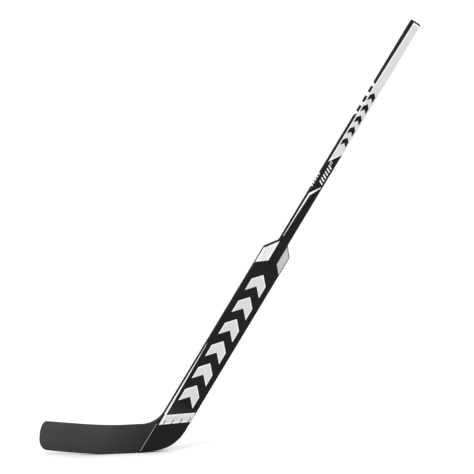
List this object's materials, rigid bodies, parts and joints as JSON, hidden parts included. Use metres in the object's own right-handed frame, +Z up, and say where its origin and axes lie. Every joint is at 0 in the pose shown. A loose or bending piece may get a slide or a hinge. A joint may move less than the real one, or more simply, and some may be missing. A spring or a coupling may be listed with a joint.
{
  "type": "goalkeeper ice hockey stick",
  "caption": "Goalkeeper's ice hockey stick with a hollow shaft, a wide foam-core paddle and a curved, tapered blade, for stopping and passing the puck.",
  "frame": {"origin": "the flat of the blade's sole, where the stick touches the ice", "axes": "+Z up from the ice; +X along the sole from the toe towards the heel, the shaft leaning that way; +Y out of the forehand face, towards which the toe curves"},
  "size_m": [1.101, 0.031, 1.2162],
  "materials": {
    "shaft_laminate": "black fibre laminate under satin clear coat, printed grey and white",
    "paddle_laminate": "black fibre laminate under clear coat, printed grey and white",
    "edge_laminate": "black lacquered hard edge, satin",
    "blade_laminate": "dark grey woven laminate, satin",
    "blade_edge": "dark grey moulded edge, satin",
    "plug_plastic": "moulded black plastic, matt",
    "spine_wood": "planed hardwood, bare",
    "block_wood": "planed light wood, bare",
    "core_foam": "rigid closed-cell foam"
  },
  "bodies": {
    "root": {"butt_end_plug": "plug_plastic", "shaft_tube": "shaft_laminate", "paddle_spine": "spine_wood", "upper_foam_core": "core_foam", "lower_foam_core": "core_foam", "upper_shoulder_block": "block_wood", "lower_shoulder_block": "block_wood", "upper_heel_block": "block_wood", "lower_heel_block": "block_wood", "upper_edge_rail": "edge_laminate", "lower_edge_rail": "edge_laminate", "upper_shoulder_cap": "edge_laminate", "lower_shoulder_cap": "edge_laminate", "heel_edge": "edge_laminate", "paddle_backhand_skin": "paddle_laminate", "paddle_forehand_skin": "paddle_laminate", "blade_spar": "block_wood", "blade_upper_foam": "core_foam", "blade_lower_foam": "core_foam", "blade_backhand_skin": "blade_laminate", "blade_forehand_skin": "blade_laminate", "blade_top_edge": "blade_edge", "blade_toe_cap": "blade_edge", "blade_sole_strip": "blade_edge"}
  },
  "joints": []
}
